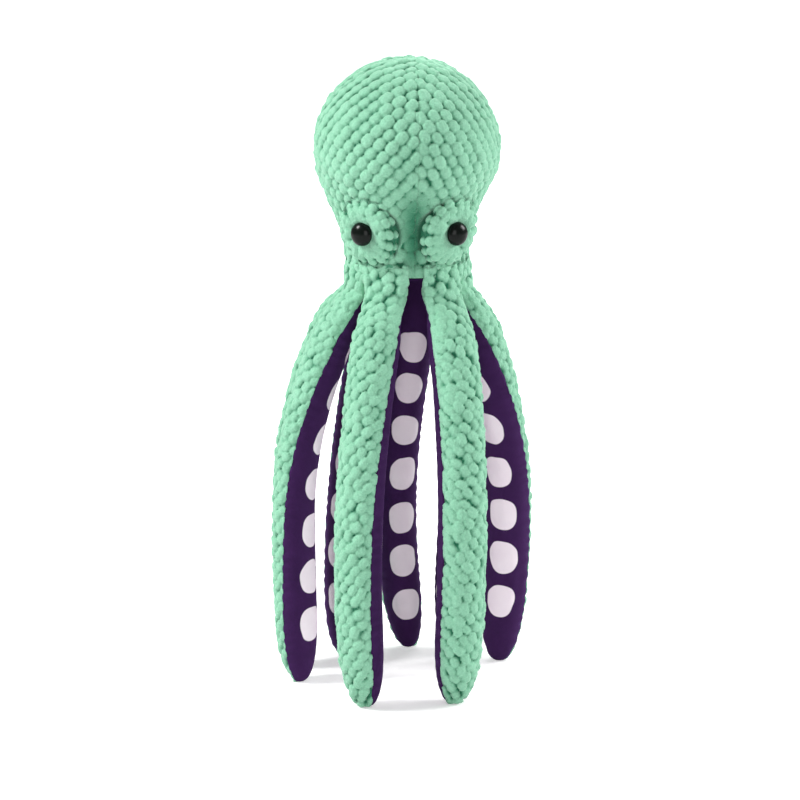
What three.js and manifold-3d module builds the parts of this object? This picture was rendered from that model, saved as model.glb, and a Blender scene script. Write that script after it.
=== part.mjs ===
// A plush octopus that stands on the tips of its eight stuffed arms.
//
// Millimetres, +Z up. The origin is on the table, under the middle of the toy as it stands. The face
// looks along -Y, and +X is on the right of someone who looks at it: left and right are theirs.
//
// The head is a bulb of bobbled plush in two halves, closed underneath by a round patch, with filling
// inside. Two puffed pads on the face carry domed safety eyes, whose stems go through to lock washers.
// Each arm is a tube sewn from an outer and an inner cover round its own filling, hinged at its seam.

import * as THREE from 'three';
import { mergeVertices } from 'three/addons/utils/BufferGeometryUtils.js';
import Module from 'manifold-3d';

const wasm = await Module();
wasm.setup();

// Fabric and seams
const plushThickness = 2.2;
const velboaThickness = 1.8;
const touchGap = 0.3; // left between two pieces that touch
const seamGap = 0.3; // between two covers sewn edge to edge

// Head, measured from the edge of its neck upwards
const headWidth = 94;
const headHeight = 107.5;
const headWidestHeight = 59.5;
const neckWidth = 62;
const neckDrawIn = 1.4; // exponent: how quickly the bulb draws in to its neck
const crownRings = 7;
const neckRings = 7;
const headSides = 24;

// Patch that closes the underside of the head
const basePatchWidth = 57.4;
const basePatchThickness = 1.6;
const basePatchSides = 24;

// Eye pads, each a flattened ball sewn on to the front of the head
const padWidth = 35;
const padDepth = 19;
const padCentreHeight = 22.5; // above the neck edge
const padSink = 3; // of its centre below the head's surface
const padTurn = 36; // degrees from the middle of the face
const padSides = 18;
const padRings = 10;

// Safety eyes and their washers
const eyeWidth = 12;
const eyeDomeHeight = 4.8;
const eyeRim = 0.6; // straight edge below the dome
const eyeSink = 1; // of its back below the front of the pad
const eyeStemWidth = 4;
const eyeStemEnd = 3; // of stem beyond the washer
const eyeSides = 18;
const eyeRings = 5;
const washerWidth = 13;
const washerThickness = 1.4;

// Arms
const armRingRadius = 26.5; // of the hinges, round the middle of the neck
const armRingTurn = 6; // degrees: the ring of arms sits turned a little against the face
const hingeHeight = 206; // above the table
const rootWidth = 17.4;
const rootThickness = 14.5;
const armWidth = 23.6;
const armThickness = 22;
const rootTaperLength = 32; // from the hinge to where the arm is at its full width
const rootSpread = 0.8; // exponent: how quickly an arm splays out below its root
const tipTaperLength = 45;
const tipFullness = 0.83; // exponent of a tip's outline: 1 is an ellipse, less is blunter
const tipFlatDepth = 0.5; // pressed flat where an arm stands on the table
const armSides = 12;
const innerSides = 6; // of them that the inner cover takes, the rest are the outer cover's
const rootDomeRings = 3;
const bodyRings = 7;
const tipDomeRings = 4;
const routePoints = 9;

// The eight arms, each as it hangs in the resting pose. turn is where its root sits round the neck,
// in degrees from the front towards +X. middleTurn and tipTurn are how much further round its
// middle and its tip have swung, reach is its greatest distance from the middle of the toy,
// reachShare is how far down the arm that is, tipReach is the distance of its tip, roll is how much
// its inner face is turned about the arm's own length, in its middle and at its tip, and plumpShare
// is how full it is stuffed, as a share of the usual arm.
const arms = [
  { name: 'front_left', turn: -32.5, middleTurn: -1, tipTurn: 3, reach: 58.5, reachShare: 0.8,
    tipReach: 55, roll: [-30, -40], plumpShare: 1.07 },
  { name: 'front_right', turn: 32.5, middleTurn: -9.5, tipTurn: -12.5, reach: 56, reachShare: 0.7,
    tipReach: 51, roll: [10, 17], plumpShare: 1.08 },
  { name: 'side_left', turn: -76.5, middleTurn: -11, tipTurn: -13, reach: 59, reachShare: 0.57,
    tipReach: 56, roll: [-30, -48], plumpShare: 0.98 },
  { name: 'side_right', turn: 76.5, middleTurn: 26, tipTurn: 39, reach: 59, reachShare: 0.75,
    tipReach: 57.5, roll: [45, 40], plumpShare: 1 },
  { name: 'rear_left', turn: -118.5, middleTurn: -0.5, tipTurn: 2, reach: 63.5, reachShare: 0.55,
    tipReach: 60, roll: [0, 0], plumpShare: 0.98 },
  { name: 'rear_right', turn: 118.5, middleTurn: 20, tipTurn: 27, reach: 54.5, reachShare: 0.8,
    tipReach: 53.5, roll: [0, 0], plumpShare: 0.96 },
  { name: 'back_left', turn: -159.5, middleTurn: 8, tipTurn: 11, reach: 54, reachShare: 0.75,
    tipReach: 53, roll: [-45, -45], plumpShare: 0.93 },
  { name: 'back_right', turn: 159.5, middleTurn: 18, tipTurn: 11.5, reach: 58.5, reachShare: 0.75,
    tipReach: 56.5, roll: [12, 12], plumpShare: 0.92 },
];

// Heights that follow from the sizes above
const basePatchBottom = hingeHeight + rootThickness / 2 + touchGap;
const neckEdge = basePatchBottom + basePatchThickness + touchGap;
const tableSize = 2 * hingeHeight; // of a block that cuts all that reaches below the table

const plush = { color: 0x93d9b5, roughness: 0.95, metalness: 0 };
const velboa = { color: 0x331543, roughness: 0.8, metalness: 0 };
const fibre = { color: 0xf2f2ee, roughness: 1, metalness: 0 };
const blackPlastic = { color: 0x0a120e, roughness: 0.12, metalness: 0 };
const washerPlastic = { color: 0xe8e8e4, roughness: 0.45, metalness: 0 };

const toy = new THREE.Group();
const smallestEdge = 1e-4; // closer points of a mesh are one point
const halfTurn = 180; // degrees
const wholeTurn = 360;

// A closed mesh as a solid that can be joined and cut
function solidOf(geometry) {
  const bare = geometry.clone();
  bare.deleteAttribute('normal');
  bare.deleteAttribute('uv');
  const merged = mergeVertices(bare, smallestEdge);
  const corners = merged.index.array;
  const kept = [];
  for (let i = 0; i < corners.length; i += 3) {
    const [a, b, c] = corners.slice(i, i + 3);
    if (a !== b && b !== c && c !== a) kept.push(a, b, c);
  }
  const mesh = new wasm.Mesh({
    numProp: 3,
    vertProperties: new Float32Array(merged.attributes.position.array),
    triVerts: new Uint32Array(kept),
  });
  return new wasm.Manifold(mesh);
}

function geometryOf(solid) {
  const mesh = solid.getMesh();
  const geometry = new THREE.BufferGeometry();
  geometry.setAttribute('position', new THREE.BufferAttribute(mesh.vertProperties, 3));
  geometry.setIndex(new THREE.BufferAttribute(mesh.triVerts, 1));
  geometry.computeVertexNormals();
  return geometry;
}

function addPiece(name, solid, look) {
  const mesh = new THREE.Mesh(geometryOf(solid), new THREE.MeshStandardMaterial(look));
  mesh.name = name;
  toy.add(mesh);
}

// A closed mesh turned about +Z from an outline of [radius, height] pairs, listed from the bottom up
function turnedMesh(outline, sides) {
  const points = outline.map(([radius, height]) => new THREE.Vector2(Math.max(radius, 0), height));
  return new THREE.LatheGeometry(points, sides).rotateX(Math.PI / 2);
}

function turned(outline, sides) {
  return solidOf(turnedMesh(outline, sides));
}

// A sheet of fabric wrapped round +Z as a closed mesh: its outside follows one outline and its inside
// another with as many points, between two turns in degrees from -Y towards +X
function wrappedMesh(outside, inside, fromTurn, toTurn, sides) {
  const rows = outside.length - 1;
  const sheet = new THREE.BoxGeometry(1, 1, 1, sides, 1, rows);
  const places = sheet.attributes.position;
  for (let i = 0; i < places.count; i += 1) {
    const row = Math.round((places.getZ(i) + 1 / 2) * rows);
    const [radius, height] = (places.getY(i) > 0 ? outside : inside)[row];
    const turn = THREE.MathUtils.degToRad(toTurn - (toTurn - fromTurn) * (places.getX(i) + 1 / 2));
    places.setXYZ(i, radius * Math.sin(turn), -radius * Math.cos(turn), height);
  }
  return sheet;
}

// Head

function headRadiusAt(height) {
  const drop = (headWidestHeight - height) / headWidestHeight;
  const swell = ((1 + Math.cos(Math.PI * drop)) / 2) ** neckDrawIn;
  return neckWidth / 2 + (headWidth / 2 - neckWidth / 2) * swell;
}

// Outline of the head, drawn in by the given inset, from the edge of its neck to its crown
function headOutline(inset) {
  const outline = [];
  for (let i = 0; i < neckRings; i += 1) {
    const height = (headWidestHeight * i) / neckRings;
    outline.push([headRadiusAt(height) - inset, neckEdge + height]);
  }
  const crownRise = headHeight - headWidestHeight - inset;
  for (let i = 0; i <= crownRings; i += 1) {
    const climb = ((Math.PI / 2) * i) / crownRings;
    const radius = i === crownRings ? 0 : (headWidth / 2 - inset) * Math.cos(climb);
    outline.push([radius, neckEdge + headWidestHeight + crownRise * Math.sin(climb)]);
  }
  return outline;
}

function headSolid(inset) {
  return turned([[0, neckEdge], ...headOutline(inset)], headSides);
}

// One half of the head's cover, on the side of the face that side points to along X
function headCover(side) {
  const turns = side > 0 ? [0, halfTurn] : [-halfTurn, 0];
  const half = wrappedMesh(headOutline(0), headOutline(plushThickness), ...turns, headSides / 2);
  return solidOf(half.translate((side * seamGap) / 2, 0, 0));
}

// Lays a closed mesh whose own axis points out of the face at a pad: the pad's side of the face, at a
// distance from the head's axis
function atPad(mesh, side, distance) {
  const placed = mesh.clone().translate(0, -distance, neckEdge + padCentreHeight);
  return solidOf(placed.rotateZ(THREE.MathUtils.degToRad(side * padTurn)));
}

// A turned closed mesh whose own axis points out of the face, along -Y before it is turned to its pad
function turnedOutwards(outline, sides) {
  const points = outline.map(([radius, height]) => new THREE.Vector2(Math.max(radius, 0), height));
  return new THREE.LatheGeometry(points, sides).rotateX(Math.PI);
}

const padSeat = headRadiusAt(padCentreHeight) - padSink; // of the pad's middle from the head's axis

function padBall(inset) {
  const ball = new THREE.SphereGeometry(1, padSides, padRings);
  return ball.scale(padWidth / 2 - inset, padDepth / 2 - inset, padWidth / 2 - inset);
}

// How far from the head's axis a flat disc can lie behind the cover before its edge meets the cover
function discSeat(discRadius, inset) {
  let seat = headWidth;
  for (let i = 0; i < eyeSides; i += 1) {
    const around = (2 * Math.PI * i) / eyeSides;
    const inside = headRadiusAt(padCentreHeight + discRadius * Math.sin(around)) - inset;
    const facet = inside * Math.cos(Math.PI / headSides);
    seat = Math.min(seat, Math.sqrt(facet ** 2 - (discRadius * Math.cos(around)) ** 2));
  }
  return seat;
}

function buildEye() {
  const padFront = padSeat + padDepth / 2;
  const back = padFront - eyeSink;
  const washerFront = discSeat(washerWidth / 2, plushThickness + touchGap);
  const stemTip = washerFront - washerThickness - eyeStemEnd;
  const outline = [[0, stemTip], [eyeStemWidth / 2, stemTip], [eyeStemWidth / 2, back]];
  outline.push([eyeWidth / 2, back], [eyeWidth / 2, back + eyeRim]);
  for (let i = 1; i <= eyeRings; i += 1) {
    const climb = ((Math.PI / 2) * i) / eyeRings;
    const radius = i === eyeRings ? 0 : (eyeWidth / 2) * Math.cos(climb);
    outline.push([radius, back + eyeRim + (eyeDomeHeight - eyeRim) * Math.sin(climb)]);
  }
  const bore = eyeStemWidth / 2 + touchGap;
  const washerBack = washerFront - washerThickness;
  return {
    eye: turnedOutwards(outline, eyeSides),
    washer: turnedOutwards([
      [bore, washerBack], [washerWidth / 2, washerBack],
      [washerWidth / 2, washerFront], [bore, washerFront], [bore, washerBack],
    ], eyeSides),
    stemHole: turnedOutwards([
      [0, stemTip - touchGap], [bore, stemTip - touchGap], [bore, back + eyeDomeHeight], [0, back + eyeDomeHeight],
    ], eyeSides),
    seat: turnedOutwards([
      [0, back - touchGap], [eyeWidth / 2 + touchGap, back - touchGap],
      [eyeWidth / 2 + touchGap, back + eyeDomeHeight], [0, back + eyeDomeHeight],
    ], eyeSides),
    pocket: turnedOutwards([
      [0, washerBack - touchGap], [washerWidth / 2 + touchGap, washerBack - touchGap],
      [washerWidth / 2 + touchGap, back], [0, back],
    ], eyeSides),
  };
}

const head = { left: headCover(-1), right: headCover(1), filling: headSolid(plushThickness + touchGap) };
const headCleared = headSolid(-touchGap);
const eyeParts = buildEye();
for (const [sideName, side] of [['left', -1], ['right', 1]]) {
  const place = (mesh) => atPad(mesh, side, 0);
  const stemHole = place(eyeParts.stemHole);
  const padOuter = atPad(padBall(0), side, padSeat);
  const padInner = atPad(padBall(plushThickness), side, padSeat);
  const padStuffing = atPad(padBall(plushThickness + touchGap), side, padSeat);
  const cover = padOuter.subtract(padInner).subtract(headCleared);
  const filling = padStuffing.subtract(headCleared).subtract(stemHole);
  addPiece(`eye_pad_${sideName}`, cover.subtract(stemHole).subtract(place(eyeParts.seat)), plush);
  addPiece(`eye_pad_filling_${sideName}`, filling.subtract(place(eyeParts.seat)), fibre);
  addPiece(`eye_${sideName}`, place(eyeParts.eye), blackPlastic);
  addPiece(`eye_washer_${sideName}`, place(eyeParts.washer), washerPlastic);
  head[sideName] = head[sideName].subtract(stemHole);
  head.filling = head.filling.subtract(stemHole).subtract(place(eyeParts.pocket));
}
addPiece('head_left_cover', head.left, plush);
addPiece('head_right_cover', head.right, plush);
addPiece('head_filling', head.filling, fibre);
addPiece('base_patch', turned([
  [0, basePatchBottom], [basePatchWidth / 2, basePatchBottom],
  [basePatchWidth / 2, basePatchBottom + basePatchThickness], [0, basePatchBottom + basePatchThickness],
], basePatchSides), velboa);

// Arms

// A value that passes through three given ones at the root, the middle and the tip of an arm
function through([atRoot, atMiddle, atTip], share) {
  return atRoot * (1 - share) * (1 - 2 * share)
    + atMiddle * 4 * share * (1 - share)
    + atTip * share * (2 * share - 1);
}

// The middle line of an arm, from its hinge to its tip
function armRoute(arm) {
  const points = [];
  for (let i = 0; i < routePoints; i += 1) {
    const share = i / (routePoints - 1);
    const turn = THREE.MathUtils.degToRad(
      armRingTurn + arm.turn + through([0, arm.middleTurn, arm.tipTurn], share),
    );
    const outShare = Math.sin((Math.PI / 2) * Math.min(share / arm.reachShare, 1)) ** rootSpread;
    const backShare = Math.max((share - arm.reachShare) / (1 - arm.reachShare), 0) ** 2;
    const radius = armRingRadius + (arm.reach - armRingRadius) * outShare
      - (arm.reach - arm.tipReach) * backShare;
    points.push(new THREE.Vector3(
      radius * Math.sin(turn),
      -radius * Math.cos(turn),
      hingeHeight * (1 - share) - tipFlatDepth * share,
    ));
  }
  return new THREE.CatmullRomCurve3(points, false, 'centripetal');
}

// How far an arm has grown from its root size to its full size, 0 to 1
function grownShareAt(distance) {
  return Math.sin((Math.PI / 2) * THREE.MathUtils.clamp(distance / rootTaperLength, 0, 1));
}

// Outline of a straight arm, drawn in by the given inset: its hinge is at 0 and its tip at length
function armOutline(length, plumpShare, inset) {
  const fullRadius = (armThickness * plumpShare) / 2;
  const rootRadius = rootThickness / 2 - inset;
  const outline = [];
  for (let i = 0; i < rootDomeRings; i += 1) {
    const climb = ((Math.PI / 2) * i) / rootDomeRings;
    outline.push([rootRadius * Math.sin(climb), -rootRadius * Math.cos(climb)]);
  }
  const bodyEnd = length - tipTaperLength;
  for (let i = 0; i < bodyRings; i += 1) {
    const distance = (bodyEnd * i) / bodyRings;
    const growth = (fullRadius - rootThickness / 2) * grownShareAt(distance);
    outline.push([rootRadius + growth, distance]);
  }
  for (let i = 0; i <= tipDomeRings; i += 1) {
    const climb = ((Math.PI / 2) * i) / tipDomeRings;
    const radius = i === tipDomeRings ? 0 : (fullRadius - inset) * Math.cos(climb) ** tipFullness;
    outline.push([radius, bodyEnd + (tipTaperLength - inset) * Math.sin(climb) ** tipFullness]);
  }
  return outline;
}

// Lays a straight closed mesh along an arm's route, widened to the arm's section and rolled with it
function laidAlong(straight, arm, route) {
  const length = route.getLength();
  const places = straight.attributes.position;
  const rootRatio = rootWidth / rootThickness;
  const bodyRatio = armWidth / armThickness;
  for (let i = 0; i < places.count; i += 1) {
    const distance = places.getZ(i);
    const share = THREE.MathUtils.clamp(distance / length, 0, 1);
    const along = route.getTangentAt(share);
    const place = route.getPointAt(share).addScaledVector(along, distance - share * length);
    const out = new THREE.Vector3(place.x, place.y, 0).normalize();
    out.addScaledVector(along, -out.dot(along)).normalize();
    out.applyAxisAngle(along, -THREE.MathUtils.degToRad(through([0, ...arm.roll], share)));
    const across = new THREE.Vector3().crossVectors(out, along);
    const ratio = rootRatio + (bodyRatio - rootRatio) * grownShareAt(distance);
    place.addScaledVector(across, places.getX(i) * ratio).addScaledVector(out, places.getY(i));
    places.setXYZ(i, place.x, place.y, place.z);
  }
  return solidOf(straight);
}

const table = new THREE.BoxGeometry(tableSize, tableSize, tableSize).translate(0, 0, -tableSize / 2);
const tableSolid = solidOf(table);
const innerTurn = (halfTurn * innerSides) / armSides; // degrees, from the middle of the inside to its seam
for (const arm of arms) {
  const route = armRoute(arm);
  const length = route.getLength();
  const addArmPiece = (part, straight, look) => {
    addPiece(`arm_${arm.name}_${part}`, laidAlong(straight, arm, route).subtract(tableSolid), look);
  };
  const outside = armOutline(length, arm.plumpShare, 0);
  const outerSheet = wrappedMesh(
    outside, armOutline(length, arm.plumpShare, plushThickness), innerTurn, wholeTurn - innerTurn,
    armSides - innerSides,
  );
  const innerSheet = wrappedMesh(
    outside, armOutline(length, arm.plumpShare, velboaThickness), -innerTurn, innerTurn, innerSides,
  );
  const stuffing = armOutline(length, arm.plumpShare, Math.max(plushThickness, velboaThickness) + touchGap);
  addArmPiece('outer', outerSheet.translate(0, seamGap / 2, 0), plush);
  addArmPiece('inner', innerSheet.translate(0, -seamGap / 2, 0), velboa);
  addArmPiece('filling', turnedMesh(stuffing, armSides), fibre);
}

// The origin comes under the middle of the toy as it stands
const box = new THREE.Box3().setFromObject(toy);
const middle = box.getCenter(new THREE.Vector3());
toy.position.set(-middle.x, -middle.y, 0);

export default toy;
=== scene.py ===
# %% [markdown]
# # A plush octopus
#
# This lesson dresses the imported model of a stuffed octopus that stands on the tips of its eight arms.
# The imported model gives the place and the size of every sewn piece, and here each one gets the cloth
# it is cut from: bobbled mint plush outside, short purple velboa with pale spots inside the arms.

import math

import bmesh
import bpy
import numpy as np
from mathutils import Matrix, Vector, noise
from mathutils.kdtree import KDTree


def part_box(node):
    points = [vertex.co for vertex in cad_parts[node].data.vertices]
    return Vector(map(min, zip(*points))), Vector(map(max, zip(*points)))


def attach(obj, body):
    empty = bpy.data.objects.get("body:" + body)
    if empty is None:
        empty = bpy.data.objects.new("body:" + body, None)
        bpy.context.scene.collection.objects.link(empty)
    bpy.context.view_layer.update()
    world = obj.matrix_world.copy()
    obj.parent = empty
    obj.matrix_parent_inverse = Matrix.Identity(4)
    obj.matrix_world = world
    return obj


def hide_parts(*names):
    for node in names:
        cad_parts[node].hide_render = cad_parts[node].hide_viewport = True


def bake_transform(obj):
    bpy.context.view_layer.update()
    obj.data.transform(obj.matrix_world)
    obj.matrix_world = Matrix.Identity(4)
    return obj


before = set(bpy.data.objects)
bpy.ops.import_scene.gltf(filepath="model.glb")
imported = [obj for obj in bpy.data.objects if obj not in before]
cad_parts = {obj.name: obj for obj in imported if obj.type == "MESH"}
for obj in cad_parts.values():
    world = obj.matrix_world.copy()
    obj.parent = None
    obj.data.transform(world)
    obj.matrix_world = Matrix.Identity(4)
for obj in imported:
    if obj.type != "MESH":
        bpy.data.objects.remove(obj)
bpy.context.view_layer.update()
patch_lowest, patch_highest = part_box("base_patch")
toy_axis = (patch_lowest + patch_highest) / 2
neck_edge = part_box("head_left_cover")[0].z
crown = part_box("head_left_cover")[1].z
print("pieces in the packed model:", len(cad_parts), "height in metres:", round(crown, 4))

# %% [markdown]
# The camera stands where the photographer stood: almost straight in front of the toy, a little above
# it and far enough away that nothing looks stretched. The aim is a point low on the toy, because the
# toy stands a bit above the middle of the picture.

# %% Camera
camera_turn = math.radians(-1.5)
camera_rise = math.radians(11)
camera_distance = 1.6
camera_target = Vector((0, 0, 0.165))
camera_aim = Vector((-0.00143, 0, 0.1468))
picture_width = 0.4093  # of the scene that the picture spans at the target

camera_data = bpy.data.cameras.new("photo_camera")
camera_data.lens = camera_data.sensor_width * camera_distance / picture_width
photo_camera = bpy.data.objects.new("photo_camera", camera_data)
bpy.context.scene.collection.objects.link(photo_camera)
towards_camera = Vector((
    math.sin(camera_turn) * math.cos(camera_rise),
    -math.cos(camera_turn) * math.cos(camera_rise),
    math.sin(camera_rise),
))
photo_camera.location = camera_target + towards_camera * camera_distance
photo_camera.rotation_euler = (camera_aim - photo_camera.location).to_track_quat("-Z", "Y").to_euler()
bpy.context.scene.camera = photo_camera
print("lens in millimetres:", round(camera_data.lens, 1))

# %% [markdown]
# The studio is a white sweep: a floor that curves up into a backdrop, so no line shows behind the
# toy. An even white sky fills the shadows. A strong lamp from the left, a weaker one from the right
# and two large weak ones in front and behind shape the bobbles.

# %% Floor and backdrop
sweep_half_width = 6
sweep_front = -4
sweep_back = 5
sweep_height = 6
sweep_curve = 2  # radius of the bend between floor and backdrop
sweep_steps = 12


def show(name, mesh, material=None):
    """Puts a mesh in the scene as an object whose place is in its points."""
    if material:
        mesh.materials.append(material)
    made = bpy.data.objects.new(name, mesh)
    bpy.context.scene.collection.objects.link(made)
    return made


def make_smooth(piece):
    for face in piece.data.polygons:
        face.use_smooth = True
    piece.data.update()


def place_in_scene(name, built, material=None):
    """Turns a bmesh into a smooth-shaded object."""
    mesh = bpy.data.meshes.new(name)
    built.to_mesh(mesh)
    built.free()
    made = show(name, mesh, material)
    make_smooth(made)
    return made


sweep = bmesh.new()
line = [sweep.verts.new((-sweep_half_width, sweep_front, 0))]
for step in range(sweep_steps + 1):
    angle = math.pi / 2 * step / sweep_steps
    line.append(sweep.verts.new((
        -sweep_half_width,
        sweep_back - sweep_curve + sweep_curve * math.sin(angle),
        sweep_curve - sweep_curve * math.cos(angle),
    )))
line.append(sweep.verts.new((-sweep_half_width, sweep_back, sweep_height)))
edges = [sweep.edges.new(pair) for pair in zip(line, line[1:])]
swept = bmesh.ops.extrude_edge_only(sweep, edges=edges)["geom"]
moved = [item for item in swept if isinstance(item, bmesh.types.BMVert)]
bmesh.ops.translate(sweep, verts=moved, vec=(2 * sweep_half_width, 0, 0))
bmesh.ops.recalc_face_normals(sweep, faces=sweep.faces)
studio_floor = place_in_scene("studio_floor", sweep)
print("faces in the sweep:", len(studio_floor.data.polygons))

# %% Helpers for materials
def new_material(name):
    """A node material with its node tree and its Principled shader."""
    material = bpy.data.materials.new(name)
    material.use_nodes = True
    tree = material.node_tree
    return material, tree, next(node for node in tree.nodes if node.type == "BSDF_PRINCIPLED")


def feed(tree, node, inputs):
    """Gives each input of a node, by name or number, a value or links it to another node's output."""
    for key, value in inputs.items():
        if isinstance(value, bpy.types.NodeSocket):
            tree.links.new(value, node.inputs[key])
        else:
            node.inputs[key].default_value = value


def add_node(tree, kind, inputs=(), operation=None):
    node = tree.nodes.new(f"ShaderNode{kind}")
    if operation:
        node.operation = operation
    feed(tree, node, dict(inputs))
    return node


def maths(tree, operation, first, second=0):
    """The output of a Math node; each input is a number or an output."""
    return add_node(tree, "Math", {0: first, 1: second}, operation).outputs["Value"]


def spread(tree, value, low, high, from_low=0, from_high=1):
    """Spreads a value that runs from from_low to from_high over low to high."""
    ends = {"From Min": from_low, "From Max": from_high, "To Min": low, "To Max": high}
    return add_node(tree, "MapRange", {**ends, "Value": value}).outputs["Result"]


def colour(code):
    """A colour as it looks, written as on a colour card, in Blender's linear numbers."""
    shares = [int(code[i:i + 2], 16) / 255 for i in (1, 3, 5)]
    linear = [share / 12.92 if share <= 0.04045 else ((share + 0.055) / 1.055) ** 2.4 for share in shares]
    return (*linear, 1)


def blend_colours(tree, share, first, second):
    """A colour between two by a share; each of the two is a colour or an output."""
    mix = tree.nodes.new("ShaderNodeMix")
    mix.data_type = "RGBA"
    feed(tree, mix, {"Factor": share, 6: first, 7: second})
    return mix.outputs[2]


def noise_at(tree, scale, detail):
    """Noise that stays with the toy, with its scale in grains to the metre."""
    place = add_node(tree, "TexCoord").outputs["Object"]
    return add_node(tree, "TexNoise", {"Scale": scale, "Detail": detail, "Vector": place})


# %% Paper of the sweep, lamps and sky
white = (1, 1, 1, 1)
paper_colour = (0.82, 0.82, 0.82, 1)
paper_lift = 0.42  # light that only the camera sees, so that the paper reads as white
far_paper_lift = 0.85  # the same on the paper behind the toy, which the lamps hardly reach
near_paper = 0.35
far_paper = 0.9
paper_roughness = 0.9
sky_strength = 0.3
camera_sky_strength = 1

paper, tree, shader = new_material("studio_paper")
place = add_node(tree, "TexCoord").outputs["Object"]
from_toy = add_node(tree, "VectorMath", {0: place}, "LENGTH").outputs["Value"]
lift_there = spread(tree, from_toy, paper_lift, far_paper_lift, near_paper, far_paper)
by_camera = add_node(tree, "LightPath").outputs["Is Camera Ray"]
feed(tree, shader, {
    "Base Color": paper_colour,
    "Roughness": paper_roughness,
    "Emission Color": white,
    "Emission Strength": maths(tree, "MULTIPLY", by_camera, lift_there),
})
studio_floor.data.materials.append(paper)

world = bpy.data.worlds.new("studio_sky")
world.use_nodes = True
bpy.context.scene.world = world
tree = world.node_tree
background = next(node for node in tree.nodes if node.type == "BACKGROUND")
by_camera = add_node(tree, "LightPath").outputs["Is Camera Ray"]
feed(tree, background, {
    "Color": white,
    "Strength": spread(tree, by_camera, sky_strength, camera_sky_strength),
})


def hang_lamp(name, place, size, power):
    """A square soft lamp that faces the middle of the toy."""
    lamp = bpy.data.lights.new(name, "AREA")
    lamp.size = size
    lamp.energy = power
    hung = bpy.data.objects.new(name, lamp)
    hung.location = place
    hung.rotation_euler = (camera_target - Vector(place)).to_track_quat("-Z", "Y").to_euler()
    bpy.context.scene.collection.objects.link(hung)


hang_lamp("key_lamp", place=(-1.7, -0.2, 1.7), size=0.7, power=56)
hang_lamp("front_lamp", place=(0.3, -2.5, 0.7), size=1.6, power=20)
hang_lamp("side_lamp", place=(1.8, 0.3, 1.2), size=0.9, power=34)
hang_lamp("back_lamp", place=(0.5, 1.8, 1.4), size=1.2, power=20)
bpy.context.scene.view_settings.view_transform = "Standard"

# %% [markdown]
# Both fabrics are short pile: thousands of fibres that stand up from a knitted back. Fibres this
# short never show one by one at this distance, only as a fine, uneven grain that catches light at
# grazing angles. So a shared node group gives the grain, and each fabric adds its own colours and
# the sheen of its fibres. The plush also reads a mask of painted shade from its mesh, which is 1 deep
# between two bobbles, where less light gets in, and darkens its colour there.

# %% A node group for short pile
pile_group = bpy.data.node_groups.new("short_pile", "ShaderNodeTree")
for socket, kind in (("Vector", "Vector"), ("Grain", "Float"), ("Nap", "Float")):
    pile_group.interface.new_socket(socket, in_out="INPUT", socket_type=f"NodeSocket{kind}")
for socket in ("Height", "Fleck", "Cloud"):
    pile_group.interface.new_socket(socket, in_out="OUTPUT", socket_type="NodeSocketFloat")
given = pile_group.nodes.new("NodeGroupInput").outputs
at_grain = {"Vector": given["Vector"], "Scale": given["Grain"]}
at_nap = {"Vector": given["Vector"], "Scale": given["Nap"]}
fine = add_node(pile_group, "TexNoise", {"Detail": 3, "Roughness": 0.65, **at_grain}).outputs["Fac"]
cloud = add_node(pile_group, "TexNoise", {"Detail": 2, **at_nap}).outputs["Fac"]
fibres = add_node(pile_group, "TexVoronoi", at_grain).outputs["Distance"]
feed(pile_group, pile_group.nodes.new("NodeGroupOutput"), {
    "Height": maths(pile_group, "SUBTRACT", fine, fibres),
    "Fleck": fine,
    "Cloud": cloud,
})
print("sockets of the pile group:", [item.name for item in pile_group.interface.items_tree])


# %% Colours and finishes of the fabrics
def add_pile(tree, shader, grain_size, nap_size, depth, strength):
    """Lays the short pile on a shader: its grain in the normal and in the roughness."""
    place = add_node(tree, "TexCoord").outputs["Object"]
    pile = tree.nodes.new("ShaderNodeGroup")
    pile.node_tree = pile_group
    feed(tree, pile, {"Grain": 1 / grain_size, "Nap": 1 / nap_size, "Vector": place})
    bump = add_node(tree, "Bump", {"Distance": depth, "Strength": strength, "Height": pile.outputs["Height"]})
    feed(tree, shader, {
        "Normal": bump.outputs["Normal"],
        "Roughness": spread(tree, pile.outputs["Fleck"], 0.8, 1),
    })
    return pile.outputs


plush_grain = 0.0009
plush_nap = 0.014
plush_pile_depth = 0.0005
mint_plush, tree, shader = new_material("mint_bobbled_plush")
pile = add_pile(tree, shader, plush_grain, plush_nap, plush_pile_depth, strength=0.55)
# Painted shade: where the mesh's mask is deep, the plush's colour darkens towards a dark green.
painted_shade = tree.nodes.new("ShaderNodeAttribute")
painted_shade.attribute_name = "painted_shade"
painted_shade_share = spread(tree, painted_shade.outputs["Fac"], 0, 1, 0.03, 0.6)
light_side = blend_colours(tree, pile["Cloud"], colour("#7ab897"), colour("#8cc7a8"))
fleck = spread(tree, pile["Fleck"], 0, 0.5, 0.35, 0.75)
flecked = blend_colours(tree, fleck, light_side, colour("#a6dcc0"))
feed(tree, shader, {
    "Base Color": blend_colours(tree, painted_shade_share, flecked, colour("#2f7a5b")),
    "Sheen Weight": 0.5,
    "Sheen Roughness": 0.5,
    "Sheen Tint": colour("#d8ffe9"),
    "Specular IOR Level": 0.15,
})
print("finishes so far:", [item.name for item in bpy.data.materials])

# %% [markdown]
# The velboa is printed before it is cut: a row of pale round spots runs down the middle of each arm.
# The inner covers carry a UV map in metres, across and along the cloth, so the print is drawn there
# and follows the arm. The print's edge wavers a little, as a screen print on pile does.

# %% Spotted velboa
spot_pitch = 0.025
first_spot = 0.027  # from the hinge to the middle of the first spot
spot_count = 7
spot_half_width = 0.0077
spot_half_length = 0.0089
spot_squareness = 2.3  # exponent: 2 is an ellipse, more is fuller
spot_edge = 0.0004
spot_waver = 0.0016
velboa_grain = 0.0006
velboa_nap = 0.011
velboa_pile_depth = 0.0003


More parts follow.
